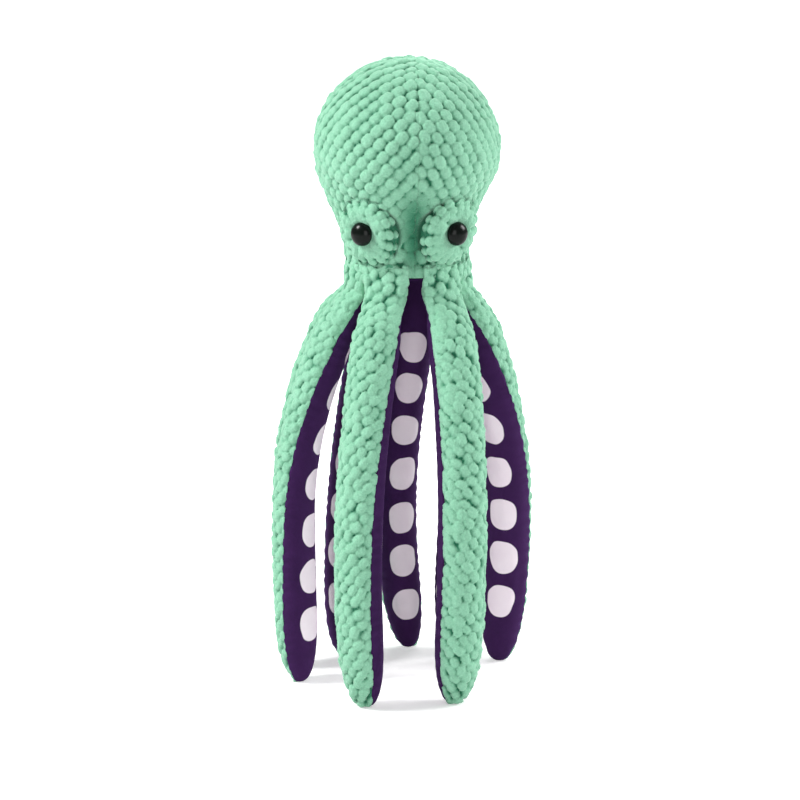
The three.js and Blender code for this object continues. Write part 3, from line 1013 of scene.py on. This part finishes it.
def arm_place(arm, around, distance, depth):
    """Points on an arm's skin, around it from the middle of its inner side and down it from its hinge."""
    line = arm["line"]

    def on_line(values):
        return np.stack([np.interp(distance, line["length"], values[:, i]) for i in range(3)], axis=-1)

    centre, along, out, side = (on_line(line[key]) for key in ("points", "along", "out", "side"))
    thick = np.maximum(half_thickness(arm, np.maximum(distance, 0)) - depth, 0)
    root_ratio = root_width / root_thickness
    ratio = root_ratio + (arm_width / arm_thickness - root_ratio) * grown_share(distance)
    x, y = np.sin(around), -np.cos(around)
    tube = centre + side * (x * thick * ratio)[:, None] + out * (y * thick)[:, None]

    centre_radius = np.hypot(centre[:, 0], centre[:, 1])
    centre_turn = np.arctan2(centre[:, 0], -centre[:, 1])
    low_angle, high_angle = np.radians(arm["root_angles"])
    half_angle = np.where(x < 0, low_angle, high_angle) * ring_radius / centre_radius
    rise = np.maximum(-distance, 0)
    lid_climb = np.arcsin(np.clip(rise / lid_rise, 0, 1))
    radius = centre_radius + y * thick
    seam_y = -math.cos(inner_half_turn)
    seam_radius = ring_radius + seam_y * thick
    neck_share = smooth_share((rise - lid_rise) / (shoulder_rise - lid_rise) * 2)
    neck_skin = neck_width / 2 + neck_clearance
    seam_risen = lid_radius - (lid_radius - seam_radius) * np.cos(lid_climb)
    seam_risen = seam_risen + (neck_skin - seam_risen) * neck_share
    top_share = smooth_share(rise / shoulder_rise)
    top_radius = ring_radius + (thick + (shoulder_thickness - thick) * top_share)
    outer_share = np.clip((y - seam_y) / (1 - seam_y), 0, 1) ** outer_fullness
    outer_radius = seam_risen + (top_radius - seam_risen) * outer_share
    inner_radius = lid_radius - (lid_radius - radius) * np.cos(lid_climb)
    risen_radius = np.where(y >= seam_y, outer_radius, inner_radius)
    radius = np.where(rise > 0, risen_radius, radius)
    turn = centre_turn + x * (half_angle - depth / centre_radius)
    wedge = np.stack([radius * np.sin(turn), -radius * np.cos(turn), centre[:, 2] + rise], axis=-1)
    tube_share = smooth_share(distance / wedge_length)[:, None]
    places = wedge + (tube - wedge) * tube_share
    places = places + np.array([toy_axis.x, toy_axis.y, 0])
    if "swelling" not in arm:
        return places
    swelling = arm["swelling"]
    column = np.mod(around - inner_half_turn, 2 * math.pi) / (2 * math.pi) * (swelling.shape[1] - 1)
    row = np.interp(distance, arm["coarse_distances"], np.arange(swelling.shape[0]))
    return places + swelling_at(swelling, row, column)


def skin_radius(arm, distance, around_from, around_to):
    """Length of the skin for each radian round an arm, measured across the given part of it."""
    rings = [
        arm_place(arm, np.full(len(distance), angle), distance, np.zeros(len(distance)))
        for angle in np.linspace(around_from, around_to, ring_steps)
    ]
    lengths = sum(np.linalg.norm(after - before, axis=1) for before, after in zip(rings, rings[1:]))
    return lengths / (around_to - around_from)


def rest_on_table(mesh):
    """The tips are pressed flat where they stand."""
    places = points_of(mesh)
    places[:, 2] = np.maximum(places[:, 2], 0)
    mesh.vertices.foreach_set("co", places.ravel())
    mesh.update()


coarse_arm_columns = 18
coarse_arm_rows = 44
for name, arm in arms.items():
    to_tip = np.sin(np.linspace(0, math.pi / 2, coarse_arm_rows + 1))
    coarse_distances = arm["line"]["length"][-1] * to_tip
    coarse_around = np.linspace(inner_half_turn, inner_half_turn + 2 * math.pi, coarse_arm_columns + 1)
    around, distance = np.meshgrid(coarse_around, coarse_distances)
    places = arm_place(arm, around.ravel(), distance.ravel(), 0).reshape(*around.shape, 3)
    outer_seam = round((2 * math.pi - 2 * inner_half_turn) / (2 * math.pi) * coarse_arm_columns)
    at_a_seam = np.isin(np.arange(coarse_arm_columns + 1), (0, outer_seam, coarse_arm_columns))
    held = at_a_seam[None] | (distance == 0) | (distance == coarse_distances[-1])
    swelling = swelling_of(f"coarse_arm_{name}", places, held)
    arm["coarse_distances"] = coarse_distances
    arm["swelling"] = swelling
print("the shoulders reach up to", round(hinge_height + shoulder_rise, 4), "metres")

# %% [markdown]
# The outer cover of an arm is bobbled plush with slanted rows of its own. Its tufts are closer and
# lean more unevenly than the head's. Its sewn top edge runs in a wave, because the cloth is gathered.

# %% Outer covers of the arms
outer_columns = 56
outer_rows = 280
arm_slant = 48
arm_top_seam_reach = 0.0016
top_edge_wave = 0.0013  # of the sewn top edge, up and down
top_edge_wave_reach = 0.004
top_edge_waves = 2.5  # over the width of the cover
arm_side_seam_reach = 0.1  # of the cover's width
arm_side_pull_share = 0.5
narrowest_tip = bobble_pitch / 3  # smallest radius that tufts are laid round, near the tip
over_edge = bobble_pitch / 4  # how far past a seam the middle of a tuft may lie
arm_row_seed = 20
arm_tuft_seed = 40
arm_lean_seed = 80


def arm_cover(name, arm, part, columns, rows, start, around_from, around_to, material):
    mesh, across, along, tucked = cut_cloth(name, columns, rows)
    distances, skin = down_the_arm(arm, start)
    around = around_from + (around_to - around_from) * across
    distance = np.interp(along * skin[-1], skin, distances)
    if part == "outer":
        wave = np.sin(2 * math.pi * top_edge_waves * across + arm["turn"])
        distance = distance + top_edge_wave * wave * np.exp(-along * skin[-1] / top_edge_wave_reach)
    places = arm_place(arm, around, distance, np.zeros(len(distance)))
    turned_in_places = arm_place(arm, around, distance, np.full(len(distance), turn_in))
    around_middle = (around_from + around_to) / 2
    widths = skin_radius(arm, distances, around_from, around_to)
    printed = distance - arm.get("print_shift", 0)
    flat = np.stack([(around - around_middle) * np.interp(distance, distances, widths), printed], axis=-1)
    lay_cloth(mesh, places, turned_in_places, flat, across, along, tucked)
    return show(name, mesh, material), distances, skin, widths


for number, (name, arm) in enumerate(arms.items()):
    cover, distances, skin, widths = arm_cover(
        f"arm_{name}_plush", arm, "outer", outer_columns, outer_rows, -shoulder_rise,
        inner_half_turn, 2 * math.pi - inner_half_turn, mint_plush,
    )
    slant = arm_slant if arm["turn"] < 0 else -arm_slant
    rows = slanted_rows(
        2 * math.pi * widths.max(), skin[-1], slant, arm_disorder, arm_bobble_scale, arm_row_seed + number,
    )
    row_radius = np.maximum(np.interp(rows[:, 1], skin, widths), narrowest_tip)
    kept = abs(rows[:, 0]) < row_radius * (math.pi - inner_half_turn) + over_edge
    kept = kept & (rows[:, 1] > 0) & (rows[:, 1] < skin[-1])
    rows = rows[kept]
    row_radius = row_radius[kept]
    chance = np.random.default_rng(arm_lean_seed + number)
    leans = np.radians(slant + chance.uniform(-arm_lean_disorder, arm_lean_disorder, len(rows)))
    leans = np.stack([np.cos(leans), np.sin(leans)], axis=-1)
    tufts = []
    for end in (-1, 1):
        ends = rows + end * tuft_stretch * leans
        end_distance = np.interp(ends[:, 1], skin, distances)
        tufts.append(arm_place(arm, math.pi + ends[:, 0] / row_radius, end_distance, np.zeros(len(rows))))
    upwards = unit(tufts[0] - tufts[1])
    upwards = upwards * np.sign(upwards[:, 2:])
    from_top = (hinge_height + shoulder_rise - points_of(cover.data)[:, 2]) / arm_top_seam_reach
    from_side = note_of(cover.data, "from_edge") / arm_side_seam_reach
    at_side = arm_side_pull_share * (1 - smooth_share(from_side))
    raise_bobbles(
        cover.data, np.stack(tufts), arm_tuft_seed + number,
        at_seam=np.maximum(at_side, 1 - smooth_share(from_top)), scale=arm_bobble_scale, comb=upwards,
    )
    turn_in_edges(cover.data)
    rest_on_table(cover.data)
    print("tufts on the arm:", len(rows))
    dress(cover, f"arm_{name}", f"arm_{name}_outer")

# %% [markdown]
# The inner cover of an arm is a smooth strip of velboa. It is sewn to the plush along both sides and
# closes the top of the arm under the head like a lid. Its pile is too short to show tufts, so only
# the cloth's own soft unevenness is added, with small puckers beside the seams, where the thread
# gathers the thin cloth against the thick plush.

# %% Inner covers of the arms
inner_columns = 28
inner_rows = 230
pucker_pitch = 0.0065
pucker_height = 0.0004
pucker_disorder = 2.2
pucker_nearness = 3  # exponent: more keeps the puckers closer to the seams
inner_sink = 0.0002

for number, (name, arm) in enumerate(arms.items()):
    cover, distances, skin, widths = arm_cover(
        f"arm_{name}_velboa", arm, "inner", inner_columns, inner_rows, -lid_rise,
        -inner_half_turn, inner_half_turn, spotted_velboa,
    )
    mesh = cover.data
    places = points_of(mesh)
    normals = normals_of(mesh)
    cloth = np.zeros((len(places), 2))
    cloth[numbers_in(mesh.loops, "vertex_index", 1, int)] = numbers_in(mesh.uv_layers["cloth"].data, "uv", 2)
    half_width = inner_half_turn * np.interp(cloth[:, 1], distances, widths)
    by_seam = np.clip(abs(cloth[:, 0]) / np.maximum(half_width, pucker_height), 0, 1) ** pucker_nearness
    wander = pucker_disorder * np.sin(cloth[:, 1] / pucker_pitch + number)
    wave = np.sin(2 * math.pi * cloth[:, 1] / pucker_pitch + wander)
    lift = (pucker_height * by_seam * wave - inner_sink) * (1 - note_of(mesh, "tucked"))
    mesh.vertices.foreach_set("co", (places + normals * lift[:, None]).ravel())
    turn_in_edges(mesh)
    rest_on_table(mesh)
    dress(cover, f"arm_{name}", f"arm_{name}_inner")
last_spot = first_spot + spot_pitch * (spot_count - 1)
print("spots run from", first_spot, "to", round(last_spot, 3), "metres below the hinge")

# %% [markdown]
# The eye pads are discs of the same plush, gathered at the edge, stuffed and sewn on. A ball is the
# right start: it is pressed flat from front to back, and its back is pushed on to the head. The tufts
# stand in three rings round the eye, and those of the outer ring turn over the rim as ruffles. The
# eye pulls the middle in.

# %% Eye pads
pad_width = 0.035
pad_depth = 0.019
pad_sink = 0.003  # of its middle below the surface of the head
pad_seat = np.interp(pad_height - neck_edge, head_rise, head_radius) - pad_sink
pad_squareness = 0.72
# Of each ring its radius, the number of its tufts and half their length
pad_rings = ((0.0138, 17, 0.0016), (0.0094, 11, 0.001), (0.0056, 7, 0.0006))
pad_rim_share = 0.88  # of the pad's radius, where the ruffles turn over its edge
pad_side_share = 0.1
pad_disorder_share = 0.2
pad_tilt = 0.24  # of its upper edge out of the face
pad_subdivisions = 6
pad_lift = 0.0004
pad_narrowing = 0.96  # where the thread gathers the pad
pad_raise = 0.06  # share by which the pad is taller over its eye than under it
calm_pad_strength = 0.5
rim_pad_strength = 1
pad_bobble_scale = 0.92
eye_dimple = 0.0024
eye_dimple_reach = 0.0075
eye_dimple_flatness = 4  # exponent: more is a flatter floor with a steeper side
pad_seed = 60


def turned_to_pad(side, distance):
    """A matrix that carries a piece made at the origin, facing -Y, to a pad's axis."""
    turn = side * pad_turn
    place = Vector((
        toy_axis.x + distance * math.sin(turn),
        toy_axis.y - distance * math.cos(turn),
        pad_height,
    ))
    return Matrix.Translation(place) @ Matrix.Rotation(turn, 4, "Z")


def eye_pad(side, name, seed):
    chance = np.random.default_rng(seed)
    ball = bmesh.new()
    bmesh.ops.create_icosphere(ball, subdivisions=pad_subdivisions, radius=pad_width / 2)
    for point in ball.verts:
        direction = point.co.normalized()
        aside = math.hypot(direction.x, direction.z)
        reach = pad_width / 2 * aside ** pad_squareness
        point.co.x = reach * direction.x / max(aside, joined_below)
        point.co.z = reach * direction.z / max(aside, joined_below)
        point.co.y = math.copysign(pad_depth / 2 * abs(direction.y) ** pad_squareness, direction.y)
    mesh = bpy.data.meshes.new(name)
    ball.to_mesh(mesh)
    ball.free()

    def on_front(radius, angle):
        share = max(1 - (2 * radius / pad_width) ** (2 / pad_squareness), 0)
        forward = pad_depth / 2 * share ** (pad_squareness / 2)
        return radius * math.cos(angle), -forward, radius * math.sin(angle)

    tufts = []
    for ring, (radius, count, half_length) in enumerate(pad_rings):
        for step in range(count):
            wander = chance.uniform(-pad_disorder_share, pad_disorder_share)
            angle = 2 * math.pi * (step + wander) / count + ring
            ends = [on_front(radius - half_length, angle), on_front(radius + half_length, angle)]
            last = ends[1]
            if ring == 0:
                rim = pad_rim_share * pad_width / 2
                last = (rim * math.cos(angle), -pad_depth * pad_side_share, rim * math.sin(angle))
            tufts.append(ends + [last])
    tufts = np.array(tufts).transpose(1, 0, 2)
    mesh.attributes.new("tucked", "FLOAT", "POINT")
    places = points_of(mesh)
    from_eye = np.hypot(places[:, 0], places[:, 2])
    near_rim = smooth_share(2 * from_eye / pad_width)
    strength = calm_pad_strength + (rim_pad_strength - calm_pad_strength) * near_rim
    raise_bobbles(mesh, tufts, seed, strength=strength, scale=pad_bobble_scale)
    places = points_of(mesh)
    places[:, 0] *= pad_narrowing
    places[:, 2] *= 1 + pad_raise * (places[:, 2] > 0)
    from_eye = np.hypot(places[:, 0], places[:, 2])
    dimple = eye_dimple * np.exp(-(from_eye / eye_dimple_reach) ** eye_dimple_flatness) * (places[:, 1] < 0)
    places[:, 1] += dimple - pad_tilt * places[:, 2]
    mesh.vertices.foreach_set("co", places.ravel())
    mesh.transform(turned_to_pad(side, pad_seat))
    places = points_of(mesh)
    turn = np.arctan2(places[:, 0] - toy_axis.x, toy_axis.y - places[:, 1])
    radius = np.hypot(places[:, 0] - toy_axis.x, places[:, 1] - toy_axis.y)
    skin = np.interp(places[:, 2] - neck_edge, head_rise, head_radius) + pad_lift
    kept = np.maximum(radius, skin)
    places[:, 0] = toy_axis.x + kept * np.sin(turn)
    places[:, 1] = toy_axis.y - kept * np.cos(turn)
    mesh.vertices.foreach_set("co", places.ravel())
    return show(name, mesh, mint_plush)


for side_name, side in sides.items():
    pad = eye_pad(side, f"eye_pad_{side_name}_plush", pad_seed + side)
    dress(pad, "head", f"eye_pad_{side_name}")

# %% [markdown]
# A safety eye is turned, so it is spun from half of its outline: a low dome with a small rounded rim,
# and behind it the stem that goes through the pad and the head into its washer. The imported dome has
# few sides and would show them in the highlight, so a smooth one replaces it.

# %% Safety eyes
eye_width = 0.012
eye_dome_height = 0.0048
eye_rim = 0.0006
eye_sink = 0.001
eye_stem_width = 0.004
eye_spin_steps = 72
dome_steps = 16
eye_back = pad_seat + pad_depth / 2 - eye_sink


def safety_eye(side, side_name):
    stem_tip = toy_axis.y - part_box(f"eye_washer_{side_name}")[1].y
    eye = bmesh.new()
    outline = [(0, stem_tip), (eye_stem_width / 2, stem_tip), (eye_stem_width / 2, eye_back)]
    outline += [(eye_width / 2 - eye_rim / 2, eye_back), (eye_width / 2, eye_back + eye_rim / 2)]
    for step in range(dome_steps + 1):
        climb = math.pi / 2 * step / dome_steps
        rise = (eye_dome_height - eye_rim) * math.sin(climb)
        outline.append((eye_width / 2 * math.cos(climb), eye_back + eye_rim + rise))
    line = [eye.verts.new((radius, -height, 0)) for radius, height in outline]
    edges = [eye.edges.new(pair) for pair in zip(line, line[1:])]
    bmesh.ops.spin(
        eye, geom=line + edges, cent=(0, 0, 0), axis=(0, 1, 0), angle=2 * math.pi,
        steps=eye_spin_steps, use_merge=True,
    )
    bmesh.ops.remove_doubles(eye, verts=eye.verts, dist=joined_below)
    bmesh.ops.recalc_face_normals(eye, faces=eye.faces)
    bmesh.ops.transform(eye, matrix=turned_to_pad(side, 0), verts=eye.verts)
    return place_in_scene(f"eye_{side_name}_dome", eye, black_plastic)


for side_name, side in sides.items():
    dress(safety_eye(side, side_name), "head", f"eye_{side_name}")
    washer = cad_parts[f"eye_washer_{side_name}"]
    washer.data.materials.clear()
    washer.data.materials.append(washer_plastic)

# %% [markdown]
# The base patch closes the head from below. Hardly any of it shows, but it is cloth, so it is a disc
# that sags a little between its stitches.

# %% Base patch
patch_inner_rings = 6
patch_sag = 0.0004
patch_half_waves = 6  # of the sag, over the width of the patch
patch_room = 3 * patch_sag  # of its packed thickness that the sag takes up
patch_sides = 96
patch_width = patch_highest.x - patch_lowest.x
patch = bmesh.new()
bmesh.ops.create_circle(patch, cap_ends=True, cap_tris=False, segments=patch_sides, radius=patch_width / 2)
for ring in range(patch_inner_rings):
    bmesh.ops.inset_region(patch, faces=[face for face in patch.faces if len(face.verts) > 4],
                           thickness=patch_width / 2 / (patch_inner_rings + 1), use_even_offset=True)
bmesh.ops.translate(patch, verts=patch.verts, vec=toy_axis)
for point in patch.verts:
    from_middle = math.hypot(point.co.x - toy_axis.x, point.co.y - toy_axis.y)
    point.co.z += patch_sag * math.sin(from_middle / patch_width * patch_half_waves * math.pi)
patch_thickness = patch_highest.z - patch_lowest.z - patch_room
bmesh.ops.solidify(patch, geom=patch.faces[:], thickness=patch_thickness)
bmesh.ops.recalc_face_normals(patch, faces=patch.faces)
base_patch = place_in_scene("base_patch_velboa", patch, plain_velboa)
dress(base_patch, "head", "base_patch")

# %% [markdown]
# The filling is loose fibre pushed in by hand, so it takes the shape of its cover and is a little
# lumpy. Each packed filling is copied, its points are merged, and its surface is smoothed and made
# uneven.

# %% Fillings
filling_lump = 0.0006
filling_lump_size = 0.009
filling_smoothing = 0.5
filling_strip_share = 1.6  # of the depth of the strip of face
filling_strip_spread_share = 0.5  # exponent: less than 1 is a wider strip than the cover's
pad_filling_share = 0.82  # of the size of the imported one, so that no crease of a pad cuts into it


def fibre_from(node):
    stuffing = bmesh.new()
    stuffing.from_mesh(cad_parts[node].data)
    bmesh.ops.remove_doubles(stuffing, verts=stuffing.verts, dist=joined_below)
    bmesh.ops.subdivide_edges(stuffing, edges=stuffing.edges, cuts=1, use_grid_fill=True)
    bmesh.ops.smooth_vert(
        stuffing, verts=stuffing.verts, factor=filling_smoothing,
        use_axis_x=True, use_axis_y=True, use_axis_z=True,
    )
    stuffing.normal_update()
    middle = sum((point.co for point in stuffing.verts), Vector()) / len(stuffing.verts)
    for point in stuffing.verts:
        waves = [math.sin(value / filling_lump_size) for value in point.co]
        point.co -= point.normal * filling_lump * (1 + sum(waves) / len(waves))
        if node.startswith("eye_pad"):
            point.co = middle + (point.co - middle) * pad_filling_share
        front = math.atan2(point.co.x - toy_axis.x, toy_axis.y - point.co.y)
        if node == "head_filling":
            sunk = strip_share(front, point.co.z - neck_edge) ** filling_strip_spread_share
            point.co -= point.normal * face_strip_depth * filling_strip_share * sunk
    return place_in_scene(f"{node}_fibre", stuffing, fibre_filling)


bodies_of_fillings = {"head_filling": "head"}
for side_name in sides:
    bodies_of_fillings[f"eye_pad_filling_{side_name}"] = "head"
for name in arms:
    bodies_of_fillings[f"arm_{name}_filling"] = f"arm_{name}"
for node, body in bodies_of_fillings.items():
    dress(fibre_from(node), body, node)
